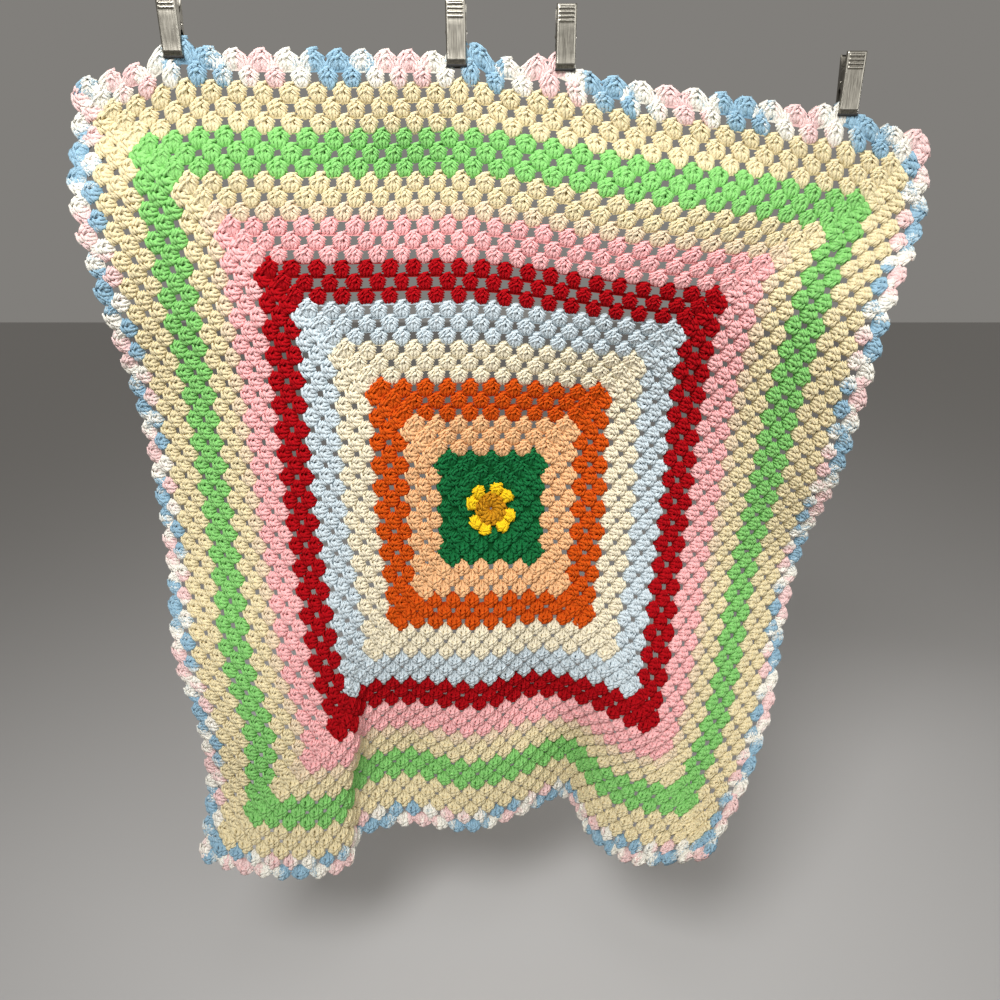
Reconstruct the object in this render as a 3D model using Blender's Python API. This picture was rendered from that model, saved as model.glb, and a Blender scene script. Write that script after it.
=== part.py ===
"""A granny-square crochet afghan that hangs by its top edge from four spring clips.

The afghan is worked outward from its centre in square rounds, so a place on it is given
in rounds: u runs from -34 at the left edge to 34 at the right, and v from -34 at the hem
to 34 at the top edge. The hung shape is read from short tables of sections. Each row of
a table is one level line of the cloth, and each column is one upright line of it.

+X is to the right, +Y is away from the viewer and +Z is up. The origin is in the hanging
plane, midway across the afghan, at the height of the highest clip's top.
"""

import math

import bmesh
import bpy
from mathutils import Vector
from mathutils.geometry import delaunay_2d_cdt

MM = 0.001

# The afghan as it was worked, in rounds and millimetres.
ROUNDS = 34
CLOTH_THICKNESS = 4.0
SCALLOP_CREST = 0.4
SCALLOP_VALLEY = 0.35

# Where the sections are across, in millimetres: a row for each level line v.
ACROSS_LINES = (-34, -18, -14, -1, 11, 18, 34)
ACROSS = {
    34: (-455, -240, -185, -20, 150, 250, 465),
    28: (-465, -240, -180, -15, 165, 265, 475),
    20: (-455, -245, -190, -20, 135, 230, 435),
    0: (-445, -245, -195, -25, 135, 225, 430),
    -13: (-425, -225, -180, -25, 120, 205, 400),
    -20: (-400, -205, -185, -30, 115, 185, 375),
    -27: (-400, -220, -200, -45, 100, 150, 330),
    -34: (-410, -220, -200, -40, 100, 135, 270),
}

# How far the sections stand behind the hanging plane, and in front where negative: the
# left lobe, its sharp fold back at lines -18 to -14, the middle, the valley at line 11
# and the right lobe.
BACK_LINES = (-34, -26, -18, -14, -8, -1, 5, 11, 18, 25, 34)
BACK = {
    34: (0, 0, 0, 0, 0, 0, 0, 0, 0, 0, 0),
    28: (-25, -20, -15, -5, 5, -10, -20, -25, -30, -10, 0),
    20: (-25, -15, -25, -25, -10, -15, -20, -25, -25, -25, -40),
    8: (30, 10, -10, -15, -15, -5, 5, 20, 30, 30, 5),
    -4: (25, 5, -10, -10, -5, 5, 10, 15, 35, 55, 80),
    -13: (-30, -35, -30, -15, 0, 5, 20, 5, -5, 20, 55),
    -20: (-45, -55, -35, 0, 20, 20, 45, 20, -25, -15, 0),
    -27: (-40, -65, -40, 0, 35, 20, 35, 55, -5, -40, -60),
    -34: (-75, -80, -50, -10, 20, 20, 45, 70, 0, -65, -115),
}

# How high the sections are, in millimetres from the origin.
HEIGHT_LINES = (-34, -24, -18, -14, -1, 11, 22, 34)
HEIGHT = {
    34: (-85, -55, -55, -55, -60, -85, -105, -135),
    28: (-170, -145, -145, -145, -145, -175, -195, -225),
    20: (-285, -270, -265, -265, -265, -285, -300, -320),
    8: (-455, -450, -445, -445, -445, -455, -470, -495),
    -4: (-630, -630, -625, -620, -625, -630, -645, -645),
    -13: (-750, -765, -765, -755, -765, -760, -775, -775),
    -20: (-845, -865, -875, -855, -870, -860, -875, -860),
    -27: (-945, -970, -980, -955, -975, -955, -970, -940),
    -34: (-1045, -1075, -1085, -1060, -1080, -1060, -1075, -1005),
}

# The edge stands up beside the clips: the line it peaks at, the lift and the half width.
PEAKS = (
    {"line": -25.5, "lift": 15, "half_width": 3.0},
    {"line": -2.2, "lift": 16, "half_width": 2.4},
    {"line": 4.6, "lift": 14, "half_width": 2.6},
    {"line": 26.8, "lift": 14, "half_width": 2.8},
)
PEAK_ROOT = 30.5

# The jaws hold the cloth flat above this round, and it hangs free some rounds below it.
CLAMPED_FROM = 31.5
FREE_BELOW = 6.0

# Gaps between the clusters of three stitches that are cut through: the side, the rounds
# they are in, and their width along the side and height across it, in rounds.
OPEN_GAPS = (
    {"side": "top", "rounds": tuple(range(4, 32, 3)), "wide": 0.66, "high": 0.70},
    {"side": "top", "rounds": (18, 20), "wide": 0.72, "high": 0.74},
    {"side": "left", "rounds": (19,), "wide": 0.60, "high": 0.36},
    {"side": "right", "rounds": (19,), "wide": 0.60, "high": 0.42},
    {"side": "bottom", "rounds": (19,), "wide": 0.42, "high": 0.36},
)
GAP_CLEARANCE = 1.1
UPPER_SPACING = 4
LOWER_SPACING = 2
LOWER_FROM = -4

# Yarn colours from the centre out: the last round of each and its colour.
YARNS = (
    {"to_round": 1, "name": "mustard_yarn", "colour": (0.58, 0.26, 0.01)},
    {"to_round": 2, "name": "yellow_yarn", "colour": (0.93, 0.60, 0.01)},
    {"to_round": 5, "name": "dark_green_yarn", "colour": (0.00, 0.15, 0.05)},
    {"to_round": 8, "name": "peach_yarn", "colour": (0.92, 0.48, 0.24)},
    {"to_round": 11, "name": "orange_yarn", "colour": (0.75, 0.09, 0.00)},
    {"to_round": 14, "name": "cream_yarn", "colour": (0.88, 0.78, 0.56)},
    {"to_round": 17, "name": "pale_blue_yarn", "colour": (0.54, 0.68, 0.80)},
    {"to_round": 20, "name": "red_yarn", "colour": (0.50, 0.00, 0.01)},
    {"to_round": 23, "name": "pink_yarn", "colour": (0.87, 0.37, 0.40)},
    {"to_round": 24, "name": "pale_cream_yarn", "colour": (0.85, 0.75, 0.48)},
    {"to_round": 26, "name": "straw_yarn", "colour": (0.82, 0.64, 0.35)},
    {"to_round": 29, "name": "bright_green_yarn", "colour": (0.12, 0.62, 0.14)},
    {"to_round": 32, "name": "straw_yarn", "colour": (0.82, 0.64, 0.35)},
    {"to_round": 35, "name": "variegated_yarn", "colour": (0.80, 0.68, 0.74)},
)
YARN_ROUGHNESS = 0.9

# The clips: how far across each is, and how high the bottom of its jaws is.
CLIPS = (
    {"name": "clip_1", "across": -344, "jaw_height": -61},
    {"name": "clip_2", "across": -46, "jaw_height": -69},
    {"name": "clip_3", "across": 69, "jaw_height": -73},
    {"name": "clip_4", "across": 374, "jaw_height": -116},
)
CLIP_WIDTH = 21.0
CLIP_SHEET = 1.2
CLIP_HEIGHT = 60.0
CLIP_COLOUR = (0.36, 0.35, 0.32)
SEAT_GAP = 0.3

# A jaw from its bottom up: the height, how far its outer face is from the hanging plane,
# how deep the turned-in sides reach, and how thick the face is.
JAW_TIP_FACE = CLOTH_THICKNESS / 2 + SEAT_GAP + CLIP_SHEET
JAW = (
    {"height": 0.0, "face": JAW_TIP_FACE, "side": 1.2, "thick": CLIP_SHEET},
    {"height": 6.0, "face": 7.0, "side": 3.4, "thick": CLIP_SHEET},
    {"height": 25.0, "face": 8.0, "side": 4.4, "thick": CLIP_SHEET},
    {"height": 26.5, "face": 8.1, "side": 7.95, "thick": CLIP_SHEET},
    {"height": 41.0, "face": 9.0, "side": 8.85, "thick": CLIP_SHEET},
    {"height": 58.4, "face": 10.0, "side": 3.0, "thick": CLIP_SHEET},
    {"height": 58.5, "face": 10.0, "side": 3.0, "thick": 3.0},
    {"height": CLIP_HEIGHT, "face": 10.0, "side": 3.0, "thick": 3.0},
)
RIB_PITCH = 3.8
RIB_RISE = 0.7
RIB_COUNT = 4
FIRST_RIB = 43.0

PIVOT_HEIGHT = 32.0
PIVOT_RADIUS = 1.6
COIL_RADIUS = 3.6
COIL_HALF_LENGTH = 6.0
PIVOT_SEGMENTS = 12

SIDES = ("top", "right", "bottom", "left")


def clear_scene():
    for obj in list(bpy.data.objects):
        bpy.data.objects.remove(obj)


def material(name, colour, roughness, metallic=0.0):
    made = bpy.data.materials.get(name) or bpy.data.materials.new(name)
    made.use_nodes = True
    made.diffuse_color = (*colour, 1.0)
    shader = made.node_tree.nodes["Principled BSDF"]
    shader.inputs["Base Color"].default_value = (*colour, 1.0)
    shader.inputs["Roughness"].default_value = roughness
    shader.inputs["Metallic"].default_value = metallic
    return made


def add_object(name, bm, materials):
    mesh = bpy.data.meshes.new(name)
    bm.to_mesh(mesh)
    bm.free()
    for entry in materials:
        mesh.materials.append(entry)
    obj = bpy.data.objects.new(name, mesh)
    bpy.context.scene.collection.objects.link(obj)
    return obj


def smooth_step(share):
    share = min(max(share, 0.0), 1.0)
    return share * share * (3.0 - 2.0 * share)


def bell(distance, half_width):
    """1 at the middle, falling smoothly to 0 at the half width."""
    return smooth_step(1.0 - abs(distance) / half_width)


def curve_through(stops, values, at):
    """The value at a place on a smooth curve through the values at rising stops."""
    last = len(stops) - 1
    k = 0
    while k < last - 1 and at > stops[k + 1]:
        k += 1

    def slope(i):
        low, high = max(i - 1, 0), min(i + 1, last)
        return (values[high] - values[low]) / (stops[high] - stops[low])

    span = stops[k + 1] - stops[k]
    q = (at - stops[k]) / span
    start, end = values[k], values[k + 1]
    return (
        (2 * q**3 - 3 * q**2 + 1) * start
        + (3 * q**2 - 2 * q**3) * end
        + span * (q**3 - 2 * q**2 + q) * slope(k)
        + span * (q**3 - q**2) * slope(k + 1)
    )


def from_sections(table, lines, u, v):
    """Reads one of the tables at a place on the cloth."""
    rows = sorted(table)
    across = [curve_through(lines, table[row], u) for row in rows]
    return curve_through(rows, across, v)


def hung_place(u, v):
    """The middle of the cloth's thickness at rounds u across and v up, in millimetres."""
    across = from_sections(ACROSS, ACROSS_LINES, u, v)
    back = from_sections(BACK, BACK_LINES, u, v)
    height = from_sections(HEIGHT, HEIGHT_LINES, u, v)
    root_share = smooth_step((v - PEAK_ROOT) / (ROUNDS - PEAK_ROOT))
    for peak in PEAKS:
        height += peak["lift"] * bell(u - peak["line"], peak["half_width"]) * root_share
    back *= smooth_step((CLAMPED_FROM - v) / FREE_BELOW)
    return Vector((across, back, height))


def cloth_normal(u, v):
    """The direction that the front of the cloth faces."""
    step = 0.25
    along = hung_place(u + step, v) - hung_place(u - step, v)
    up = hung_place(u, v + step) - hung_place(u, v - step)
    return along.cross(up).normalized()


def turned(side, along, out):
    """A place along one side of a round and out from the centre, as (u, v)."""
    return {
        "top": (along, out),
        "right": (out, -along),
        "bottom": (-along, -out),
        "left": (-out, along),
    }[side]


def scalloped_outline():
    """The edge of the last round, clockwise from the top left: a crest on every shell."""
    points = []
    for side in SIDES:
        for along in range(-ROUNDS, ROUNDS):
            if along == -ROUNDS:
                points.append(turned(side, along, ROUNDS))
            elif (along + ROUNDS) % 2:
                points.append(turned(side, along, ROUNDS + SCALLOP_CREST))
            else:
                points.append(turned(side, along, ROUNDS - SCALLOP_VALLEY))
    return points


def gap_outlines():
    """The four corners of each gap that is cut through, in rounds."""
    outlines = []
    for row in OPEN_GAPS:
        for number in row["rounds"]:
            middle = number - 0.5
            for along in range(-(number - 2), number - 1, 2):
                corners = [
                    (along - row["wide"] / 2, middle - row["high"] / 2),
                    (along - row["wide"] / 2, middle + row["high"] / 2),
                    (along + row["wide"] / 2, middle + row["high"] / 2),
                    (along + row["wide"] / 2, middle - row["high"] / 2),
                ]
                outlines.append([turned(row["side"], a, out) for a, out in corners])
    return outlines


def body_points(gaps):
    """Points inside the outline: closer together in the folds of the lower part."""
    centres = [
        (sum(p[0] for p in gap) / len(gap), sum(p[1] for p in gap) / len(gap))
        for gap in gaps
    ]
    points = []
    for v in range(-ROUNDS + 2, ROUNDS - 1, LOWER_SPACING):
        spacing = LOWER_SPACING if v <= LOWER_FROM else UPPER_SPACING
        if (v + ROUNDS - 2) % spacing:
            continue
        for u in range(-ROUNDS + 2, ROUNDS - 1, spacing):
            if all(math.dist((u, v), centre) > GAP_CLEARANCE for centre in centres):
                points.append((u, v))
    return points


def flat_pattern():
    """The afghan laid out flat in rounds: its points, and triangles around the gaps."""
    outline = scalloped_outline()
    gaps = gap_outlines()
    points = list(outline)
    edges = [(i, (i + 1) % len(outline)) for i in range(len(outline))]
    owner = [None] * len(outline)
    for number, gap in enumerate(gaps):
        first = len(points)
        points += gap
        owner += [number] * len(gap)
        edges += [(first + i, first + (i + 1) % len(gap)) for i in range(len(gap))]
    inner = body_points(gaps)
    points += inner
    owner += [None] * len(inner)
    inside_constraints = 1
    placed, _, faces, origins, _, _ = delaunay_2d_cdt(
        [Vector(point) for point in points], edges, [], inside_constraints, 1e-6
    )
    owners = [owner[found[0]] for found in origins]
    kept = [
        face
        for face in faces
        if owners[face[0]] is None or len({owners[corner] for corner in face}) > 1
    ]
    return placed, kept


def yarn_index(u, v):
    """Which yarn a place on the cloth is worked in."""
    number = max(abs(u), abs(v))
    for index, yarn in enumerate(YARNS):
        if number <= yarn["to_round"]:
            return index
    return len(YARNS) - 1


def afghan():
    """One sheet of crochet with its true thickness, hung in its folds."""
    placed, faces = flat_pattern()
    bm = bmesh.new()
    fronts, backs = [], []
    for u, v in placed:
        middle = hung_place(u, v)
        half = cloth_normal(u, v) * (CLOTH_THICKNESS / 2)
        fronts.append(bm.verts.new((middle + half) * MM))
        backs.append(bm.verts.new((middle - half) * MM))
    edge_uses = {}
    for face in faces:
        centre_u = sum(placed[corner][0] for corner in face) / 3
        centre_v = sum(placed[corner][1] for corner in face) / 3
        front = bm.faces.new([fronts[corner] for corner in face])
        back = bm.faces.new([backs[corner] for corner in reversed(face)])
        front.material_index = back.material_index = yarn_index(centre_u, centre_v)
        for start, end in zip(face, face[1:] + face[:1], strict=True):
            edge_uses[start, end] = front.material_index
    for (start, end), index in edge_uses.items():
        if (end, start) not in edge_uses:
            wall = bm.faces.new((fronts[end], fronts[start], backs[start], backs[end]))
            wall.material_index = index
    yarns = [material(y["name"], y["colour"], YARN_ROUGHNESS) for y in YARNS]
    return add_object("afghan", bm, yarns)


def face_at(height):
    """The jaw's outer face, side depth and thickness at a height between its rows."""
    for low, high in zip(JAW, JAW[1:], strict=False):
        if low["height"] <= height <= high["height"]:
            share = (height - low["height"]) / (high["height"] - low["height"])
            return {key: low[key] + share * (high[key] - low[key]) for key in low}
    raise ValueError(f"no jaw at height {height}")


def jaw_sections(ribbed):
    """The jaw's rows, with a raised rib across the grip where it has them."""
    rows = [dict(row) for row in JAW]
    if ribbed:
        for number in range(RIB_COUNT):
            foot = FIRST_RIB + number * RIB_PITCH
            for rise, up in ((0.0, 0.0), (RIB_RISE, 0.25), (RIB_RISE, 0.5), (0.0, 0.7)):
                row = face_at(foot + up * RIB_PITCH)
                row["face"] += rise
                row["side"] += rise
                row["thick"] += rise
                rows.append(row)
    return sorted(rows, key=lambda row: (row["height"], row["thick"]))


def jaw(name, clip, front):
    """A stamped steel jaw: a flat face with both sides turned in towards the cloth."""
    outward = -1 if front else 1
    half = CLIP_WIDTH / 2
    bm = bmesh.new()
    rings = []
    for row in jaw_sections(front):
        face, inner = row["face"], row["face"] - row["thick"]
        edge = min(row["face"] - row["side"], inner)
        section = (
            (-half, edge),
            (-half, face),
            (half, face),
            (half, edge),
            (half - CLIP_SHEET, edge),
            (half - CLIP_SHEET, inner),
            (CLIP_SHEET - half, inner),
            (CLIP_SHEET - half, edge),
        )
        ring = []
        for across, out in section:
            place = Vector(
                (clip["across"] + across, outward * out, clip["jaw_height"] + row["height"])
            )
            ring.append(bm.verts.new(place * MM))
        rings.append(ring)
    for low, high in zip(rings, rings[1:], strict=False):
        for i in range(len(low)):
            j = (i + 1) % len(low)
            bm.faces.new((low[i], low[j], high[j], high[i]))
    for ring in (rings[0], rings[-1]):
        bm.faces.new(ring[:2] + ring[6:])
        bm.faces.new((ring[1], ring[2], ring[5], ring[6]))
        bm.faces.new(ring[2:6])
    bmesh.ops.remove_doubles(bm, verts=bm.verts, dist=1e-6)
    bmesh.ops.recalc_face_normals(bm, faces=bm.faces)
    return add_object(name, bm, [material("clip_steel", CLIP_COLOUR, 0.35, 1.0)])


def spring(name, clip):
    """The pivot pin between the turned-in sides, with the spring's coil round it."""
    end = CLIP_WIDTH / 2 - CLIP_SHEET - SEAT_GAP
    profile = (
        (-end, PIVOT_RADIUS),
        (-COIL_HALF_LENGTH, PIVOT_RADIUS),
        (-COIL_HALF_LENGTH, COIL_RADIUS),
        (COIL_HALF_LENGTH, COIL_RADIUS),
        (COIL_HALF_LENGTH, PIVOT_RADIUS),
        (end, PIVOT_RADIUS),
    )
    bm = bmesh.new()
    rings = []
    for across, radius in profile:
        ring = []
        for k in range(PIVOT_SEGMENTS):
            angle = 2 * math.pi * k / PIVOT_SEGMENTS
            place = Vector(
                (
                    clip["across"] + across,
                    radius * math.cos(angle),
                    clip["jaw_height"] + PIVOT_HEIGHT + radius * math.sin(angle),
                )
            )
            ring.append(bm.verts.new(place * MM))
        rings.append(ring)
    for low, high in zip(rings, rings[1:], strict=False):
        for i in range(PIVOT_SEGMENTS):
            j = (i + 1) % PIVOT_SEGMENTS
            bm.faces.new((low[i], low[j], high[j], high[i]))
    bm.faces.new(rings[0])
    bm.faces.new(rings[-1])
    bmesh.ops.recalc_face_normals(bm, faces=bm.faces)
    obj = add_object(name, bm, [material("spring_steel", CLIP_COLOUR, 0.3, 1.0)])
    obj.data.shade_smooth()
    obj.data.set_sharp_from_angle(angle=math.radians(40))
    return obj


def main():
    clear_scene()
    afghan()
    for clip in CLIPS:
        jaw(clip["name"] + "_front_jaw", clip, front=True)
        jaw(clip["name"] + "_back_jaw", clip, front=False)
        spring(clip["name"] + "_spring", clip)


main()
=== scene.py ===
"""The looks of a granny-square crochet afghan that hangs from four spring clips.

Every stitch is worked in yarn on the afghan's hung surface. A place on that surface is
given in rounds: u runs from -34 at the left edge to 34 at the right, and v from -34 at
the hem to 34 at the top edge. Stitches are made on one side of the square first, as
rounds along the side and rounds out from the centre, and are then turned to their side.
"""

import math

import bmesh
import bpy
import numpy as np
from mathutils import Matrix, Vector


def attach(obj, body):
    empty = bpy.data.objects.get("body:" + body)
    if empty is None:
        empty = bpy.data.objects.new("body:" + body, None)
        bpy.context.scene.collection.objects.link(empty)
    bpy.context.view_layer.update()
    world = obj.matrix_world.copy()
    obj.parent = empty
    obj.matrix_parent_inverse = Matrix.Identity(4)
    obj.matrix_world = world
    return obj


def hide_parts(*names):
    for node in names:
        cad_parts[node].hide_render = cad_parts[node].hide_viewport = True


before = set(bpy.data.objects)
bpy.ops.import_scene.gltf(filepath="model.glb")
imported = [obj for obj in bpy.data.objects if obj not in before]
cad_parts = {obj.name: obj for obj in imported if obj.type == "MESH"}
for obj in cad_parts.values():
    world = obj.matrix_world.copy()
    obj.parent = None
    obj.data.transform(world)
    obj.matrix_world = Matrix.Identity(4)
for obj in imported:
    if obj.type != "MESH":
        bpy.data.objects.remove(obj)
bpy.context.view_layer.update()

MM = 0.001

# The afghan as it was worked, and as it would lie flat.
ROUNDS = 34
ROUND_HEIGHT = 13.5
FLAT_SIDE = 0.92
SIDES = ("top", "right", "bottom", "left")

# The hung shape, in millimetres: how far across, behind the hanging plane and high each
# section is. A row is a level line v, and a column is one of the upright lines named.
ACROSS_LINES = (-34, -18, -14, -1, 11, 18, 34)
ACROSS = {
    34: (-455, -240, -185, -20, 150, 250, 465),
    28: (-465, -240, -180, -15, 165, 265, 475),
    20: (-455, -245, -190, -20, 135, 230, 435),
    0: (-445, -245, -195, -25, 135, 225, 430),
    -13: (-425, -225, -180, -25, 120, 205, 400),
    -20: (-400, -205, -185, -30, 115, 185, 375),
    -27: (-400, -220, -200, -45, 100, 150, 330),
    -34: (-410, -220, -200, -40, 100, 135, 270),
}
BACK_LINES = (-34, -26, -18, -14, -8, -1, 5, 11, 18, 25, 34)
BACK = {
    34: (0, 0, 0, 0, 0, 0, 0, 0, 0, 0, 0),
    28: (-25, -20, -15, -5, 5, -10, -20, -25, -30, -10, 0),
    20: (-25, -15, -25, -25, -10, -15, -20, -25, -25, -25, -40),
    8: (30, 10, -10, -15, -15, -5, 5, 20, 30, 30, 5),
    -4: (25, 5, -10, -10, -5, 5, 10, 15, 35, 55, 80),
    -13: (-30, -35, -30, -15, 0, 5, 20, 5, -5, 20, 55),
    -20: (-45, -55, -35, 0, 20, 20, 45, 20, -25, -15, 0),
    -27: (-40, -65, -40, 0, 35, 20, 35, 55, -5, -40, -60),
    -34: (-75, -80, -50, -10, 20, 20, 45, 70, 0, -65, -115),
}
HEIGHT_LINES = (-34, -24, -18, -14, -1, 11, 22, 34)
HEIGHT = {
    34: (-85, -55, -55, -55, -60, -85, -105, -135),
    28: (-170, -145, -145, -145, -145, -175, -195, -225),
    20: (-285, -270, -265, -265, -265, -285, -300, -320),
    8: (-455, -450, -445, -445, -445, -455, -470, -495),
    -4: (-630, -630, -625, -620, -625, -630, -645, -645),
    -13: (-750, -765, -765, -755, -765, -760, -775, -775),
    -20: (-845, -865, -875, -855, -870, -860, -875, -860),
    -27: (-945, -970, -980, -955, -975, -955, -970, -940),
    -34: (-1045, -1075, -1085, -1060, -1080, -1060, -1075, -1005),
}
PEAKS = (
    {"line": -25.5, "lift": 15, "half_width": 3.0},
    {"line": -2.2, "lift": 16, "half_width": 2.4},
    {"line": 4.6, "lift": 14, "half_width": 2.6},
    {"line": 26.8, "lift": 14, "half_width": 2.8},
)
PEAK_ROOT = 30.5
CLAMPED_FROM = 31.5
FREE_BELOW = 6.0

# Yarn for each band, from the centre out.
BANDS = (
    {"name": "centre_ring", "rounds": (1, 1), "yarn": "mustard_yarn"},
    {"name": "petals", "rounds": (2, 2), "yarn": "yellow_yarn"},
    {"name": "dark_green_band", "rounds": (3, 5), "yarn": "dark_green_yarn"},
    {"name": "peach_band", "rounds": (6, 8), "yarn": "peach_yarn"},
    {"name": "orange_band", "rounds": (9, 11), "yarn": "orange_yarn"},
    {"name": "cream_band", "rounds": (12, 14), "yarn": "cream_yarn"},
    {"name": "pale_blue_band", "rounds": (15, 17), "yarn": "pale_blue_yarn"},
    {"name": "red_band", "rounds": (18, 20), "yarn": "red_yarn"},
    {"name": "pink_band", "rounds": (21, 23), "yarn": "pink_yarn"},
    {"name": "pale_cream_round", "rounds": (24, 24), "yarn": "pale_cream_yarn"},
    {"name": "inner_straw_band", "rounds": (25, 26), "yarn": "straw_yarn"},
    {"name": "bright_green_band", "rounds": (27, 29), "yarn": "bright_green_yarn"},
    {"name": "outer_straw_band", "rounds": (30, 32), "yarn": "straw_yarn"},
    {"name": "edging", "rounds": (33, 34), "yarn": "variegated_yarn"},
)
YARN_COLOURS = {
    "mustard_yarn": (0.52, 0.235, 0.009),
    "yellow_yarn": (0.90, 0.58, 0.014),
    "dark_green_yarn": (0.009, 0.145, 0.042),
    "peach_yarn": (0.81, 0.47, 0.235),
    "orange_yarn": (0.59, 0.083, 0.005),
    "cream_yarn": (0.815, 0.735, 0.55),
    "pale_blue_yarn": (0.59, 0.665, 0.70),
    "red_yarn": (0.38, 0.002, 0.006),
    "pink_yarn": (0.89, 0.47, 0.465),
    "pale_cream_yarn": (0.77, 0.63, 0.445),
    "straw_yarn": (0.77, 0.665, 0.415),
    "bright_green_yarn": (0.245, 0.57, 0.168),
}
VARIEGATED_BLUE = (0.285, 0.455, 0.57)
VARIEGATED_WHITE = (0.86, 0.83, 0.74)
VARIEGATED_PINK = (0.84, 0.59, 0.57)

# One double crochet, drawn upright: millimetres across, up its post and out in front.
POST_LENGTH = 17.0
YARN_RADIUS = 1.45
STRANDS = (
    {"sides": 4, "path": ((-1.2, -0.4, -1.6), (-1.6, 3.6, 0.8), (-1.0, 7.4, 1.3), (1.2, 10.8, 0.6))},
    {"sides": 4, "path": ((1.3, 0.0, -1.7), (1.5, 4.8, 0.9), (0.6, 9.0, 0.4))},
    {"sides": 4, "path": ((-2.7, 8.0, -0.8), (-1.1, 9.2, 2.5), (1.2, 11.2, 2.7), (2.8, 13.2, -0.4))},
    {"sides": 4, "path": ((-2.4, 11.2, 0.0), (-1.3, 13.0, 2.5), (0.9, 14.8, 2.0))},
    {
        "sides": 4,
        "path": (
            (-3.1, 15.2, 0.2),
            (-0.4, 15.9, 2.4),
            (3.0, 16.9, 0.9),
            (2.0, 17.0, -1.8),
            (-2.4, 16.2, -1.8),
        ),
    },
    {"sides": 3, "path": ((0.8, 0.6, -1.9), (-0.7, 8.0, -2.2), (0.7, 15.0, -2.0))},
)

# How a cluster of three stitches sits, in rounds, where the hung cloth packs it tight and
# where it pulls it open. The outer two stitches fan out, droop and start a little higher.
TIGHT_FIT = {"crown": 0.50, "foot": 0.22, "bow": 0.13, "root": 0.38, "rise": 0.05, "width": 1.30}
LOOSE_FIT = {"crown": 0.45, "foot": 0.11, "bow": 0.09, "root": 0.17, "rise": 0.01, "width": 1.18}
CROWN_DROOP = 0.30
FOOT_RISE = 0.11
CORNER_IN = 0.17
CORNER_OUT = 0.23
BOW_SKEW = 0.85

# How a cluster domes forward about its middle, and how far a point stands out to share it.
DOME_BELOW_CROWN = 0.52
DOME_LIFT = 2.0
DOME_RADIUS = 0.82
DOME_SAG = -0.6
FRONT_DEPTH = 2.0

# How unevenly the hand works: each stitch's place in rounds, its width and its depth.
HAND_WOBBLE = 0.035
WIDTH_SPREAD = 0.05
DEPTH_SPREAD = 0.08

# How far out the yarn is, in millimetres, where its relief is nothing, and how much
# further where it is full. The relief sets a painted shade: yarn that lies deep is
# painted darker and richer in colour.
RELIEF_FROM = -2.5
RELIEF_SPAN = 5.5

# How open the gaps are on each side, by the last round that each value holds for: from 0,
# tight, to 1, loose. The first rounds are worked closed.
CLOSED_ROUNDS = 5
EASE = {
    "top": {5: 0.1, 8: 0.2, 11: 0.3, 14: 0.45, 17: 0.6, 20: 0.95, 23: 0.7, 34: 0.55},
    "right": {5: 0.1, 11: 0.12, 17: 0.22, 34: 0.28},
    "bottom": {5: 0.1, 14: 0.1, 34: 0.05},
    "left": {5: 0.1, 11: 0.12, 17: 0.22, 34: 0.28},
}
CLOSED_LIFT = -0.9

# The centre ring, twelve stitches round a small hole, and the flower's eight petals.
RING_STITCHES = 12
RING_FOOT = 0.17
RING_CROWN = 1.46
PETAL_PAIRS = 4
PETAL_TURN = 34.0
PETAL_SPREAD = 17.4
PETAL_FOOT = 1.34
PETAL_CROWN = 2.40
FLOWER_MIDDLE = 0.52
PETAL_FIT = {"crown": 0.30, "foot": 0.10, "droop": 0.20, "lift": 1.3, "width": 1.5}
RING_FIT = {"crown": 0.0, "foot": 0.0, "droop": 0.0, "lift": 0.0, "width": 1.4}

# A shell of the edging: the angle and the length of each of its five stitches.
SHELL = (
    {"angle": -61, "length": 1.10},
    {"angle": -31, "length": 1.21},
    {"angle": 0, "length": 1.27},
    {"angle": 31, "length": 1.21},
    {"angle": 61, "length": 1.10},
)
SHELL_FOOT = 32.86
SHELL_SPREAD = 0.32
SHELL_MIDDLE = 0.7
SHELL_WIDTH = 1.5

# Where the last round's yarn is at its bluest along each side, in rounds, and how far
# along the same colours lie in the round before it.
BLUE_PLACES = {
    "top": (-35.0, -24.7, -14.3, -1.6, 8.2, 18.1, 28.2, 38.5),
    "right": (-38.0, -28.0, -18.0, -8.9, 4.0, 14.3, 24.0, 33.5),
    "bottom": (-38.0, -28.5, -19.5, -8.5, 1.0, 12.5, 23.5, 34.0),
    "left": (-40.0, -29.8, -19.3, -9.0, 0.6, 9.5, 18.5, 28.5, 38.5),
}
INNER_SHIFT = {"top": 0.8, "right": -4.2, "bottom": -4.0, "left": -3.4}

# How the dye varies from stitch to stitch, runs along the yarn and mingles in its fibres.
DYE_SPREAD = 0.035
DYE_RUN = 0.007
DYE_MINGLE = 0.25

# The ground of each round, in rounds, where it is tight and where it is loose: the chain
# along its top, and half the width of a cluster at its foot and at its crown. Under a
# shell it narrows from its shoulder to its tip.
TIGHT_GROUND = {"chain": 0.30, "foot": 0.30, "crown": 0.60}
LOOSE_GROUND = {"chain": 0.27, "foot": 0.24, "crown": 0.52}
SHELL_GROUND = {"shoulder": 0.3, "half_width": 0.8, "tip": 0.45}
CENTRE_HOLE = 0.10
GROUND_TONE = 0.4
# The ground is painted in shade, as yarn that lies deep behind the stitches.
GROUND_SHADE_RELIEF = 0.3

# The clips, in millimetres.
CLIPS = (
    {"name": "clip_1", "across": -344, "jaw_height": -61},
    {"name": "clip_2", "across": -46, "jaw_height": -69},
    {"name": "clip_3", "across": 69, "jaw_height": -73},
    {"name": "clip_4", "across": 374, "jaw_height": -116},
)
CLIP_WIDTH = 21.0
CLIP_SHEET = 1.2
SHARP_ANGLE = 50.0

# How flat a clip presses the yarn, how far beside and below its jaws, and how gently.
CLIP_PINCH = 0.5
PRESS_BESIDE = 5.0
PRESS_BELOW = 6.0
PRESS_FADE = 5.0

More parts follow.
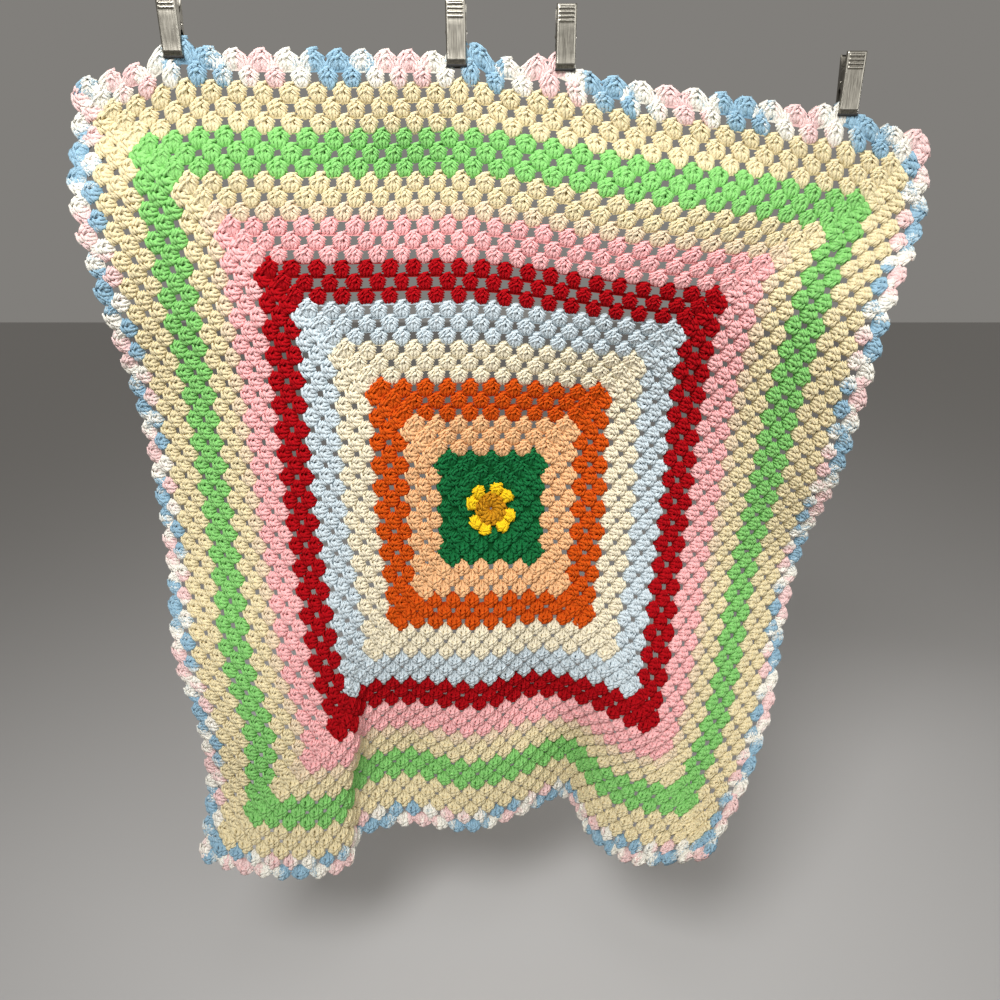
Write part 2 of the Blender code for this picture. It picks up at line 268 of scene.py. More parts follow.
# A jaw from its tip up: the height, how far its face is from the hanging plane, and how
# deep its turned-in sides reach.
JAW_ROWS = (
    (0.0, 3.7, 1.2),
    (0.6, 4.5, 1.5),
    (4.6, 6.6, 3.0),
    (5.4, 7.1, 3.3),
    (6.4, 7.0, 3.4),
    (15.0, 7.5, 3.9),
    (23.5, 7.9, 4.4),
    (25.0, 8.0, 5.2),
    (26.5, 8.1, 7.4),
    (29.0, 8.2, 8.1),
    (36.0, 8.7, 8.6),
    (41.0, 9.0, 8.7),
    (58.0, 10.0, 3.2),
    (59.2, 9.8, 3.0),
    (60.0, 9.0, 2.4),
)
BEND_RADIUS = 2.0
BEND_SHARE = 0.7
LEAST_BEND = 0.15
BEND_ANGLES = (0, 30, 60, 90)
FACE_STOPS = (-8.0, -7.2, -6.6, -2.2, 2.2, 6.6, 7.2, 8.0)
# Where a jaw is rubbed bright and painted with a highlight, on its bends, its lip line and
# its top: points of its section from either end, and heights.
RUB_AND_HIGHLIGHT_POINTS = (2, 3, 4)
RUB_AND_HIGHLIGHT_HEIGHTS = ((4.6, 6.0), (59.0, 61.0))
RIB_REACH = 7.3
FIRST_RIB = 43.0
RIB_PITCH = 3.8
RIB_RISE = 0.8
RIB_COUNT = 4
# A rib's outline: how far up, in rib pitches, and what share of its rise.
RIB_PROFILE = (
    (-0.10, -0.25),
    (0.0, -0.15),
    (0.12, 0.55),
    (0.25, 0.92),
    (0.37, 1.0),
    (0.50, 0.92),
    (0.62, 0.55),
    (0.74, -0.15),
)

LIP_RADIUS = 1.3
LIP_MIDDLE = (3.75, 0.9)
LIP_STRETCH = 1.35
LIP_OVERHANG = 0.2
LIP_ROUNDING = 0.3
LIP_END_SHARE = 0.8
LIP_SIDES = 10

PIVOT_HEIGHT = 32.0
PIN_PROFILE = ((11.6, 0.0), (11.5, 0.9), (11.1, 1.7), (10.6, 1.9), (10.55, 1.3), (0.0, 1.3))
PIN_TIP_RADIUS = 0.02
PIN_HEAD_FROM = 11.0
PIN_SIDES = 16

# The spring: its coil, and the leg at each end as how far out and up from the pin.
COIL_RADIUS = 2.9
COIL_WIRE = 0.6
COIL_TURNS = 8
COIL_STEPS = 14
COIL_REACH = 5.3
# How much the coil is rubbed and painted with a highlight.
COIL_RUB_AND_HIGHLIGHT = 0.3
WIRE_SIDES = 6
LEG_ROOT = (COIL_RADIUS, 1.5)
LEG_BEND = (5.1, 10.0)
LEG_TIP = (7.4, 19.0)

# The camera stands in front of the middle, level with the upper part, and looks down.
CAMERA_PLACE = (0.0, -0.9007, -0.260)
CAMERA_PITCH = 18.0
CAMERA_LENS = 27.04
FLOOR_HEIGHT = -1.32
FLOOR_REACH = 12.0
FLOOR_COLOUR = (0.54, 0.53, 0.52)

# The studio: the pale world's light, and four soft lamps that all aim at the middle.
WORLD_COLOUR = (1.0, 0.96, 0.90, 1.0)
WORLD_STRENGTH = 0.22
LIGHTS_AIM = (0.0, 0.0, -0.22)
LIGHTS = (
    {"name": "key", "place": (-0.5, -1.35, 0.85), "size": 0.8, "power": 13.7, "spread": 95},
    {"name": "fill", "place": (1.5, -1.8, 0.3), "size": 1.6, "power": 9, "spread": 120},
    {"name": "top", "place": (0.0, -0.6, 1.2), "size": 0.8, "power": 1, "spread": 90},
    {"name": "back", "place": (1.6, 1.7, -0.4), "size": 1.2, "power": 9, "spread": 70},
)

# The clips' steel, how its rubbed edges with their painted highlights and its dull patches
# differ, and their rubber.
STEEL_DULL = (0.13, 0.12, 0.10)
STEEL_BRIGHT = (0.36, 0.34, 0.29)
STEEL_STREAKS = (0.3, 0.8)
STREAK_STRETCH = (1.0, 1.0, 0.035)
RUB_AND_HIGHLIGHT_BRIGHTENS = 0.45
RUB_SMOOTHS = -0.08
PATCH_ROUGHENS = 0.22
RUBBER_BLACK = (0.012, 0.012, 0.013)
RUBBER_DUST = (0.045, 0.044, 0.042)

# The yarn's painted shade and its tone: the painted shade in a groove between plies, how
# much each thing adds to it (the painted light on a ply's crown, the nap, the drift and
# each stitch's tone), the painted shade on the deepest yarn and how much it lightens where
# the yarn stands out, the most light, and how much richer its colour is painted there.
GROOVE_PAINTED_SHADE = 0.90
PLY_PAINTED_LIGHT = 0.16
NAP_LIGHT = 0.90
DRIFT_LIGHT = 0.14
STITCH_LIGHT = 0.10
DEEP_PAINTED_SHADE = 0.68
RELIEF_PAINTED_LIGHT = 0.34
MOST_LIGHT = 1.06
DEEP_SHADE_GAMMA = 1.32
RELIEF_SHADE_GAMMA = -0.32

# The variegated yarn's colours, by how far through one repeat of its dye each begins.
DYE_STOPS = (
    (0.0, VARIEGATED_BLUE),
    (0.14, VARIEGATED_BLUE),
    (0.21, VARIEGATED_WHITE),
    (0.33, VARIEGATED_WHITE),
    (0.42, VARIEGATED_PINK),
    (0.60, VARIEGATED_PINK),
    (0.68, VARIEGATED_WHITE),
    (0.79, VARIEGATED_WHITE),
    (0.86, VARIEGATED_BLUE),
)

rng = np.random.default_rng(34)


def smooth_step(share):
    share = np.clip(share, 0.0, 1.0)
    return share * share * (3.0 - 2.0 * share)


def curve_through(stops, values, at):
    """Values on a smooth curve through the values at rising stops."""
    stops = np.asarray(stops, float)
    values = np.asarray(values, float)
    last = len(stops) - 1
    low = np.maximum(np.arange(last + 1) - 1, 0)
    high = np.minimum(np.arange(last + 1) + 1, last)
    spans = (stops[high] - stops[low]).reshape((-1,) + (1,) * (values.ndim - 1))
    slopes = (values[high] - values[low]) / spans
    k = np.clip(np.searchsorted(stops, at, side="right") - 1, 0, last - 1)

    def picked(table, rows):
        return table[rows] if table.ndim == 1 else table[rows, np.arange(len(at))]

    span = stops[k + 1] - stops[k]
    q = (at - stops[k]) / span
    return (
        (2 * q**3 - 3 * q**2 + 1) * picked(values, k)
        + (3 * q**2 - 2 * q**3) * picked(values, k + 1)
        + span * (q**3 - 2 * q**2 + q) * picked(slopes, k)
        + span * (q**3 - q**2) * picked(slopes, k + 1)
    )


def from_sections(table, lines, u, v):
    """Reads one of the tables at places on the cloth."""
    rows = sorted(table)
    across = np.array([curve_through(lines, table[row], u) for row in rows])
    return curve_through(rows, across, v)


def hung_places(u, v):
    """Points of the cloth's middle surface, in millimetres."""
    across = from_sections(ACROSS, ACROSS_LINES, u, v)
    back = from_sections(BACK, BACK_LINES, u, v)
    height = from_sections(HEIGHT, HEIGHT_LINES, u, v)
    root_share = smooth_step((v - PEAK_ROOT) / (ROUNDS - PEAK_ROOT))
    for peak in PEAKS:
        near = smooth_step(1.0 - np.abs(u - peak["line"]) / peak["half_width"])
        height += peak["lift"] * near * root_share
    back *= smooth_step((CLAMPED_FROM - v) / FREE_BELOW)
    return np.stack([across, back, height], axis=1)


def hung_normals(u, v):
    step = 0.25
    along = hung_places(u + step, v) - hung_places(u - step, v)
    up = hung_places(u, v + step) - hung_places(u, v - step)
    normals = np.cross(along, up)
    return normals / np.linalg.norm(normals, axis=1, keepdims=True)


def on_cloth(u, v, out):
    """Points that stand out millimetres in front of the cloth's middle, in metres.

    Under a clip's jaws the yarn is pressed flat.
    """
    middle = hung_places(u, v)
    pressed = np.zeros(len(u))
    for clip in CLIPS:
        beside = CLIP_WIDTH / 2 + PRESS_BESIDE - np.abs(middle[:, 0] - clip["across"])
        above = middle[:, 2] - clip["jaw_height"] + PRESS_BELOW
        near = smooth_step(beside / PRESS_FADE) * smooth_step(above / PRESS_FADE)
        pressed = np.maximum(pressed, near)
    return (middle + hung_normals(u, v) * (out * (1.0 - CLIP_PINCH * pressed))[:, None]) * MM


def turned(side, along, out):
    """Rounds along a side and out from the centre, as u and v."""
    return {
        "top": (along, out),
        "right": (out, -along),
        "bottom": (-along, -out),
        "left": (-out, along),
    }[side]


def placed(name, data):
    """A new object in the scene."""
    obj = bpy.data.objects.new(name, data)
    bpy.context.scene.collection.objects.link(obj)
    return obj


def store(mesh, name, values):
    """Keeps a number for each point of a mesh, for its material to read."""
    made = mesh.attributes.new(name, "FLOAT", "POINT")
    made.data.foreach_set("value", values)


def ring_faces(rings, size):
    """Four-cornered faces between each closed ring of points and the next."""
    faces = []
    for ring in range(rings - 1):
        for k in range(size):
            near, far = ring * size + k, ring * size + (k + 1) % size
            faces.append((near, far, far + size, near + size))
    return faces


def end_faces(rings, size):
    """A face on the first ring and on the last."""
    last = (rings - 1) * size
    return [tuple(range(size)), tuple(range(last, last + size))]


def tube(path, sides, radius):
    """A tube of yarn along a path: its points, its four-cornered faces, and for each point
    the cosine and sine of its place round the yarn and its length along it."""
    path = np.array(path, float)
    steps = np.gradient(path, axis=0)
    tangents = steps / np.linalg.norm(steps, axis=1, keepdims=True)
    side_way = np.cross(tangents[0], (0.0, 0.0, 1.0))
    lengths = np.concatenate([[0.0], np.cumsum(np.linalg.norm(np.diff(path, axis=0), axis=1))])
    points, marks = [], []
    for place, tangent, length in zip(path, tangents, lengths, strict=True):
        side_way = side_way - tangent * np.dot(side_way, tangent)
        side_way /= np.linalg.norm(side_way)
        front_way = np.cross(side_way, tangent)
        for k in range(sides):
            angle = 2 * math.pi * (k + 0.5) / sides
            round_way = math.cos(angle) * side_way + math.sin(angle) * front_way
            points.append(place + radius * round_way)
            marks.append((math.cos(angle), math.sin(angle), length))
    return np.array(points), np.array(ring_faces(len(path), sides)), np.array(marks)


def double_crochet():
    """One stitch of yarn, upright on its foot."""
    points, faces, marks, count = [], [], [], 0
    for strand in STRANDS:
        radius = YARN_RADIUS / math.cos(math.pi / strand["sides"]) ** 0.5
        own_points, own_faces, own_marks = tube(strand["path"], strand["sides"], radius)
        points.append(own_points)
        faces.append(own_faces + count)
        marks.append(own_marks)
        count += len(own_points)
    return np.concatenate(points), np.concatenate(faces), np.concatenate(marks)


def ease_of(side, number):
    return EASE[side][min(last for last in EASE[side] if last >= number)]


def blend(tight, loose, share):
    return {key: tight[key] + share * (loose[key] - tight[key]) for key in tight}


def side_clusters(side, number):
    """The stitches of one round along one side: foot, crown and the cluster's middle."""
    fit = blend(TIGHT_FIT, LOOSE_FIT, ease_of(side, number))
    rows = []
    for place in range(-(number - 1), number, 2):
        corner = math.copysign(1, place) if abs(place) == number - 1 else 0.0
        along = place - corner * CORNER_IN
        foot_out = number - 1 - fit["root"]
        crown_out = number + fit["rise"] + abs(corner) * CORNER_OUT
        for third in (-1, 0, 1):
            aside = abs(third)
            rows.append(
                {
                    "side": side,
                    "round": number,
                    "foot": (along + third * fit["foot"], foot_out + FOOT_RISE * aside),
                    "crown": (along + third * fit["crown"], crown_out - CROWN_DROOP * aside),
                    "bow": third * fit["bow"],
                    "middle": (along, crown_out - DOME_BELOW_CROWN),
                    "width": fit["width"] * (-1 if third > 0 else 1),
                    "lift": CLOSED_LIFT if number <= CLOSED_ROUNDS else 0.0,
                }
            )
    return rows


def round_stitch(angle, foot, crown, aside, fit):
    """A stitch of the flower, which points straight out from the centre at its angle."""
    outward = np.array((math.sin(angle), math.cos(angle)))
    across = np.array((math.cos(angle), -math.sin(angle)))
    return {
        "side": "top",
        "round": 1,
        "foot": tuple(outward * foot + across * aside * fit["foot"]),
        "crown": tuple(
            outward * (crown - abs(aside) * fit["droop"]) + across * aside * fit["crown"]
        ),
        "bow": 0.0,
        "middle": tuple(outward * (foot + crown) * FLOWER_MIDDLE),
        "width": fit["width"] * (-1 if aside > 0 else 1),
        "lift": fit["lift"],
    }


def centre_ring():
    turn = 2 * math.pi / RING_STITCHES
    return [
        round_stitch((k + 0.5) * turn, RING_FOOT, RING_CROWN, 0, RING_FIT)
        for k in range(RING_STITCHES)
    ]


def petals():
    rows = []
    for pair in range(PETAL_PAIRS):
        for spread in (-PETAL_SPREAD, PETAL_SPREAD):
            angle = math.radians(PETAL_TURN + 360 / PETAL_PAIRS * pair + spread)
            for third in (-1, 0, 1):
                rows.append(round_stitch(angle, PETAL_FOOT, PETAL_CROWN, third, PETAL_FIT))
    return rows


def side_shells(side):
    """The last round along one side: five stitches fanned from each foot."""
    rows = []
    for place in range(-(ROUNDS - 1), ROUNDS, 2):
        for stitch in SHELL:
            angle = math.radians(stitch["angle"])
            reach = stitch["length"]
            crown_out = SHELL_FOOT + reach * math.cos(angle)
            rows.append(
                {
                    "side": side,
                    "round": ROUNDS,
                    "foot": (place + SHELL_SPREAD * math.sin(angle), SHELL_FOOT),
                    "crown": (place + reach * math.sin(angle), crown_out),
                    "bow": 0.0,
                    "middle": (place, SHELL_FOOT + SHELL_MIDDLE),
                    "width": SHELL_WIDTH * (-1 if stitch["angle"] > 0 else 1),
                    "lift": 0.0,
                }
            )
    return rows


def stitches_of_round(number):
    if number == 1:
        return centre_ring()
    if number == 2:
        return petals()
    if number == ROUNDS:
        return [row for side in SIDES for row in side_shells(side)]
    return [row for side in SIDES for row in side_clusters(side, number)]


def dye_phase(side, along, number):
    """How far through the variegated yarn's colours each place is: a whole number is blue."""
    places = BLUE_PLACES[side]
    shift = INNER_SHIFT[side] if number < ROUNDS else 0.0
    return np.interp(np.asarray(along) - shift, places, np.arange(len(places)))


def yarn_mesh(name, places, quads):
    """A mesh from all its points and four-cornered faces at once."""
    mesh = bpy.data.meshes.new(name)
    mesh.vertices.add(len(places))
    mesh.vertices.foreach_set("co", places.ravel())
    mesh.loops.add(quads.size)
    mesh.loops.foreach_set("vertex_index", quads.ravel())
    mesh.polygons.add(len(quads))
    mesh.polygons.foreach_set("loop_start", np.arange(len(quads)) * 4)
    mesh.update(calc_edges=True)
    mesh.shade_smooth()
    return mesh


def worked_yarn(name, rows):
    """All the stitches of one band as one mesh of yarn on the hung surface."""
    points, faces, marks = double_crochet()
    count, size = len(rows), len(points)

    def of_each(key):
        return np.array([row[key] for row in rows])

    foot = of_each("foot") + rng.normal(0, HAND_WOBBLE, (count, 2))
    crown = of_each("crown") + rng.normal(0, HAND_WOBBLE, (count, 2))
    width = of_each("width") * rng.normal(1.0, WIDTH_SPREAD, count)
    depth = rng.normal(1.0, DEPTH_SPREAD, count)
    way_up = (crown - foot) / POST_LENGTH
    way_across = np.stack([way_up[:, 1], -way_up[:, 0]], axis=1)
    way_across /= np.linalg.norm(way_across, axis=1, keepdims=True) * ROUND_HEIGHT
    share = np.clip(points[:, 1] / POST_LENGTH, 0.0, 1.0)
    bow = of_each("bow") * ROUND_HEIGHT
    bowed = bow[:, None] * np.sin(math.pi * share**BOW_SKEW)[None]
    sideways = points[None, :, 0] * width[:, None] + bowed
    flat = (
        foot[:, None]
        + points[None, :, 1:2] * way_up[:, None]
        + sideways[:, :, None] * way_across[:, None]
    )
    away = np.linalg.norm(flat - of_each("middle")[:, None], axis=2) / DOME_RADIUS
    dome = DOME_LIFT * np.clip(1.0 - away**2, DOME_SAG, 1.0)
    facing = np.clip(points[None, :, 2] / FRONT_DEPTH, 0.0, 1.0)
    out = points[None, :, 2] * depth[:, None] + dome * facing + of_each("lift")[:, None]
    u, v = np.empty((count, size)), np.empty((count, size))
    sides, number, dye = of_each("side"), of_each("round"), np.zeros(count)
    for side in SIDES:
        own = sides == side
        u[own], v[own] = turned(side, flat[own, :, 0], flat[own, :, 1])
        for own_round in np.unique(number[own]):
            some = own & (number == own_round)
            dye[some] = dye_phase(side, crown[some, 0], own_round)
    dye += rng.normal(0, DYE_SPREAD, count)
    places = on_cloth(u.ravel(), v.ravel(), out.ravel())
    quads = faces[None] + (np.arange(count) * size)[:, None, None]
    quads[width > 0] = quads[width > 0][:, :, ::-1]
    mesh = yarn_mesh(name, places, quads.reshape(-1, 4))
    strand = mesh.attributes.new("strand", "FLOAT_VECTOR", "POINT")
    strand.data.foreach_set("vector", np.tile(marks, (count, 1)).ravel())
    store(mesh, "tone", np.repeat(rng.uniform(0, 1, count), size))
    along_yarn = DYE_RUN * (marks[:, 2] - POST_LENGTH / 2)
    store(mesh, "dye", (dye[:, None] + along_yarn[None]).ravel())
    # Painted shade: how far out each point stands sets how dark the yarn is painted.
    store(mesh, "relief_shade", smooth_step((out.ravel() - RELIEF_FROM) / RELIEF_SPAN))
    return placed(name, mesh)


def ground_fit(side, number):
    return blend(TIGHT_GROUND, LOOSE_GROUND, ease_of(side, number))


def about(place, half):
    return (place - half, place + half)


def ground_patches():
    """Flat patches in rounds: a chain along the top of each round and a pillar under each
    cluster, with the gaps left open between them. Each comes with its round."""
    patches = []

    def strip(side, number, low, high, low_ends, high_ends):
        corners = (
            (low_ends[0], low),
            (low_ends[1], low),
            (high_ends[1], high),
            (high_ends[0], high),
        )
        clipped = [(min(max(along, -out), out), out) for along, out in corners]
        patches.append((number, [turned(side, *corner) for corner in clipped]))

    for side in SIDES:
        for number in range(1, CLOSED_ROUNDS + 1):
            inner = max(number - 1, CENTRE_HOLE)
            for place in range(-number, number):
                strip(side, number, inner, number, (place, place + 1), (place, place + 1))
        for number in range(CLOSED_ROUNDS + 1, ROUNDS):
            fit, above = ground_fit(side, number), ground_fit(side, number + 1)
            chain_out = number - fit["chain"]
            for place in range(-(number - 1), number, 2):
                foot, crown = about(place, fit["foot"]), about(place, fit["crown"])
                strip(side, number, number - 1, chain_out, foot, crown)
            stops = []
            for place in range(-number, number + 1):
                half = above["foot"] if (place + number) % 2 == 0 else fit["crown"]
                stops += about(place, half)
            stops = [-number] + stops[1:-1] + [number]
            for start, end in zip(stops, stops[1:], strict=False):
                strip(side, number, chain_out, number, (start, end), (start, end))
        shoulder_out = ROUNDS - SHELL_GROUND["shoulder"]
        for place in range(-(ROUNDS - 1), ROUNDS, 2):
            foot = about(place, ground_fit(side, ROUNDS)["foot"])
            shoulder = about(place, SHELL_GROUND["half_width"])
            tip = about(place, SHELL_GROUND["tip"])
            strip(side, ROUNDS, ROUNDS - 1, shoulder_out, foot, shoulder)
            strip(side, ROUNDS, shoulder_out, ROUNDS, shoulder, tip)
    return patches


def ground_dye(u, v):
    """The edging's colours on the ground under it."""
    if abs(v) >= abs(u):
        side = "top" if v > 0 else "bottom"
    else:
        side = "right" if u > 0 else "left"
    along = {"top": u, "bottom": -u, "right": -v, "left": v}[side]
    return float(dye_phase(side, along, ROUNDS))


def ground_sheet(yarns):
    """The afghan's ground as one thin sheet, in each band's yarn."""
    numbered, corners, faces, rounds = {}, [], [], []
    for number, patch in ground_patches():
        face = []
        for u, v in patch:
            key = (round(u, 4), round(v, 4))
            if key not in numbered:
                numbered[key] = len(corners)
                corners.append(key)
            if numbered[key] not in face:
                face.append(numbered[key])
        if len(face) > 2:
            faces.append(face)
            rounds.append(number)
    u, v = np.array(corners).T
    mesh = bpy.data.meshes.new("ground")
    mesh.from_pydata(on_cloth(u, v, np.zeros(len(u))).tolist(), [], faces)
    mesh.shade_smooth()
    dyes = [ground_dye(*corner) for corner in corners]
    # The ground's tone, its dye, and the relief that paints it in shade.
    for name, values in (("tone", GROUND_TONE), ("dye", dyes), ("relief_shade", GROUND_SHADE_RELIEF)):
        store(mesh, name, np.broadcast_to(values, len(u)).astype(float))
    for band in BANDS:
        behind_petals = band["name"] == "petals"
        mesh.materials.append(yarns["dark_green_yarn" if behind_petals else band["yarn"]])
    band_of_round = {
        number: index
        for index, band in enumerate(BANDS)
        for number in range(band["rounds"][0], band["rounds"][1] + 1)
    }
    mesh.polygons.foreach_set("material_index", [band_of_round[number] for number in rounds])
    return placed("ground", mesh)


def ground_flat_area():
    """The yarn's share of the flat afghan in square metres, with the gaps left out."""
    total = 0.0
    for _, patch in ground_patches():
        sides = zip(patch, patch[1:] + patch[:1], strict=True)
        total += abs(sum(u * far_v - far_u * v for (u, v), (far_u, far_v) in sides)) / 2
    return total * (FLAT_SIDE / 2 / ROUNDS) ** 2


def joined(name, parts, materials):
    """One mesh from parts that each give points in metres, faces, rubbing with its painted
    highlight, and a material.
    """
    points, faces, rub_and_highlight, slots, count = [], [], [], [], 0
    for part in parts:
        points += [tuple(point) for point in part["points"]]
        faces += [[count + corner for corner in face] for face in part["faces"]]
        rub_and_highlight += list(part["rub_and_highlight"])
        slots += [part["material"]] * len(part["faces"])
        count = len(points)
    mesh = bpy.data.meshes.new(name)
    mesh.from_pydata(points, [], faces)
    mesh.shade_smooth()
    mesh.set_sharp_from_angle(angle=math.radians(SHARP_ANGLE))
    for material in materials:
        mesh.materials.append(material)
    mesh.polygons.foreach_set("material_index", slots)
    store(mesh, "rub_and_highlight", rub_and_highlight)
    bm = bmesh.new()
    bm.from_mesh(mesh)
    bmesh.ops.recalc_face_normals(bm, faces=bm.faces)
    bm.to_mesh(mesh)
    bm.free()
    return placed(name, mesh)


def clip_point(clip, across, out, height, outward):
    """A place on a clip: across it, out from the hanging plane and up from its tip."""
    return (
        (clip["across"] + across) * MM,
        outward * out * MM,
        (clip["jaw_height"] + height) * MM,
    )


def ring_at(clip, outward, across, middle, reach, sides):
    """A ring of points round a line across a clip. Its middle and its reach are each given
    as how far out and how far up."""
    ring = []
    for k in range(sides):
        angle = 2 * math.pi * k / sides
        out = middle[0] + reach[0] * math.cos(angle)
        height = middle[1] + reach[1] * math.sin(angle)
        ring.append(clip_point(clip, across, out, height, outward))
    return ring


def solid_of_rings(rings, rub_and_highlight, material):
    """A closed part skinned over rings of points, each with its rubbing and painted highlight."""
    size = len(rings[0])
    return {
        "points": [point for ring in rings for point in ring],
        "faces": ring_faces(len(rings), size) + end_faces(len(rings), size),
        "rub_and_highlight": [mark for mark in rub_and_highlight for _ in range(size)],
        "material": material,
    }


def jaw_at(height):
    """How far out a jaw's face is and how deep its sides reach at a height."""
    heights, faces, sides = zip(*JAW_ROWS, strict=True)
    return np.interp(height, heights, faces), np.interp(height, heights, sides)


def channel_line(half, face, edge, bend, rise):
    """One face of a jaw's section: up a turned-in side, over the front and down again."""
    quarter = [math.radians(angle) for angle in BEND_ANGLES]
    left = [(-half + bend * (1 - math.cos(a)), face - bend * (1 - math.sin(a))) for a in quarter]
    middle = [(x, face + (rise if abs(x) < RIB_REACH else 0.0)) for x in FACE_STOPS]
    right = [(-x, out) for x, out in reversed(left)]
    return [(-half, edge)] + left + middle + right + [(half, edge)]


def jaw_plate(clip, outward, ribbed):
    """A stamped steel jaw: ribs across its grip, and a step down to its tip."""
    rows = [(height, 0.0) for height, _, _ in JAW_ROWS]
    if ribbed:
        for number in range(RIB_COUNT):
            foot = FIRST_RIB + number * RIB_PITCH
            rows += [(foot + up * RIB_PITCH, rise * RIB_RISE) for up, rise in RIB_PROFILE]
    points, rub_and_highlight = [], []
    half = CLIP_WIDTH / 2
    for height, rise in sorted(rows):
        face, side = jaw_at(height)
        bend = min(BEND_RADIUS, BEND_SHARE * side)
        inner_bend = max(bend - CLIP_SHEET, LEAST_BEND)
        outer = channel_line(half, face, face - side, bend, rise)
        inner = channel_line(half - CLIP_SHEET, face - CLIP_SHEET, face - side, inner_bend, 0.0)
        section = outer + inner[::-1]
        points += [clip_point(clip, across, out, height, outward) for across, out in section]
        last = len(outer) - 1
        # Painted highlight on rubbed steel: the bends, the rib crests, the lip line and the top are
        # lighter.
        on_bend = [1.0 if min(k, last - k) in RUB_AND_HIGHLIGHT_POINTS else 0.0 for k in range(last + 1)]
        rubbed_and_highlit = any(low < height < high for low, high in RUB_AND_HIGHLIGHT_HEIGHTS)
        crest = max(rise / RIB_RISE, 0.0) + (1.0 if rubbed_and_highlit else 0.0)
        rub_and_highlight += [max(mark, crest) for mark in on_bend] + [0.0] * len(inner)
    size = len(section)
    faces = ring_faces(len(rows), size)
    for start in (0, (len(rows) - 1) * size):
        for k in range(size // 2 - 1):
            faces.append((start + k, start + k + 1, start + size - 2 - k, start + size - 1 - k))
    return {"points": points, "faces": faces, "rub_and_highlight": rub_and_highlight, "material": 0}


def jaw_lip(clip, outward):
    """The dark grip moulded over the jaw's tip."""
    half = CLIP_WIDTH / 2
    to_right = (0.0, half / 2, half - LIP_ROUNDING, half + LIP_OVERHANG)
    rings = []
    for across in [-place for place in reversed(to_right[1:])] + list(to_right):
        radius = LIP_RADIUS * (LIP_END_SHARE if abs(across) > half else 1.0)
        reach = (radius, LIP_STRETCH * radius)
        rings.append(ring_at(clip, outward, across, LIP_MIDDLE, reach, LIP_SIDES))
    return solid_of_rings(rings, [0.0] * len(rings), 1)


def pivot_pin(clip):
    """The pin through the jaws' turned-in sides, with a domed head on each end."""
    profile = [(-across, radius) for across, radius in PIN_PROFILE]
    profile += reversed(PIN_PROFILE[:-1])
    rings = []
    for across, radius in profile:
        reach = (max(radius, PIN_TIP_RADIUS),) * 2
        rings.append(ring_at(clip, 1, across, (0.0, PIVOT_HEIGHT), reach, PIN_SIDES))
    # The domed heads are rubbed and painted with a highlight.
    rub_and_highlight = [1.0 if abs(across) > PIN_HEAD_FROM else 0.0 for across, _ in profile]
    return solid_of_rings(rings, rub_and_highlight, 0)


def coil_spring(clip):
    """The spring wound on the pin, with a leg up the inside of each jaw."""
    tip, root = np.array((-COIL_REACH, *LEG_TIP)), np.array((-COIL_REACH, *LEG_ROOT))
    path = [tuple(tip + (root - tip) * share) for share in (0, 0.5, 1)]
    steps = COIL_TURNS * COIL_STEPS + COIL_STEPS // 2
    for step in range(1, steps):
        angle = -2 * math.pi * step / COIL_STEPS
        across = -COIL_REACH + 2 * COIL_REACH * step / steps
        path.append((across, COIL_RADIUS * math.cos(angle), COIL_RADIUS * math.sin(angle)))
    path += [(COIL_REACH, -out, up) for out, up in (LEG_ROOT, LEG_BEND, LEG_TIP)]
    wire, faces, _ = tube(path, WIRE_SIDES, COIL_WIRE)
    return {
        "points": [clip_point(clip, x, out, PIVOT_HEIGHT + up, 1) for x, out, up in wire],
        "faces": [tuple(face) for face in faces] + end_faces(len(path), WIRE_SIDES),
        "rub_and_highlight": [COIL_RUB_AND_HIGHLIGHT] * len(wire),
        "material": 0,
    }


def dress_clip(clip, metals):
    """The detailed pieces of one clip, each in place of its solid."""
    steel, rubber, spring_steel = metals
    pieces = []
    for end, outward in (("front", -1), ("back", 1)):
        parts = [jaw_plate(clip, outward, ribbed=end == "front"), jaw_lip(clip, outward)]
        plate = joined(f"{clip['name']}_{end}_plate", parts, [steel, rubber])
        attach(plate, "root")
        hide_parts(f"{clip['name']}_{end}_jaw")
        pieces.append(plate)
    coil = joined(f"{clip['name']}_coil", [pivot_pin(clip), coil_spring(clip)], [spring_steel])
    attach(coil, "root")
    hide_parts(f"{clip['name']}_spring")
    return pieces + [coil]


def feed(tree, socket, value):
    """Links a socket to another node's output, or sets it to a plain value."""
    if isinstance(value, bpy.types.NodeSocket):
        tree.links.new(value, socket)
    else:
        socket.default_value = value


def node(tree, kind, inputs=None, **settings):
    made = tree.nodes.new(kind)
    for key, value in settings.items():
        setattr(made, key, value)
    for key, value in (inputs or {}).items():
        feed(tree, made.inputs[key], value)
    return made


def math_node(tree, operation, *values):
    made = tree.nodes.new("ShaderNodeMath")
    made.operation = operation
    for socket, value in zip(made.inputs, values, strict=False):
        feed(tree, socket, value)
    return made.outputs[0]


def mixed(tree, blend_type, factor, low, high):
    """A colour mix: low where the factor is 0, high where it is 1."""
    made = node(tree, "ShaderNodeMix", data_type="RGBA", blend_type=blend_type)
    for label, value in (("Factor", factor), ("A", low), ("B", high)):
        plain_colour = isinstance(value, tuple)
        feed(tree, made.inputs[label], (*value, 1.0) if plain_colour else value)
    return made.outputs["Result"]


def centred(tree, value, weight):
    """A value's share of a sum: nothing where it is a half, and weight from 0 to 1."""
    return math_node(tree, "MULTIPLY_ADD", value, weight, -weight / 2)


def noise(tree, where, scale, detail):
    inputs = {"Vector": where, "Scale": scale, "Detail": detail}
    return node(tree, "ShaderNodeTexNoise", inputs).outputs[0]


def attribute(tree, name, output="Fac"):
    return node(tree, "ShaderNodeAttribute", attribute_name=name).outputs[output]


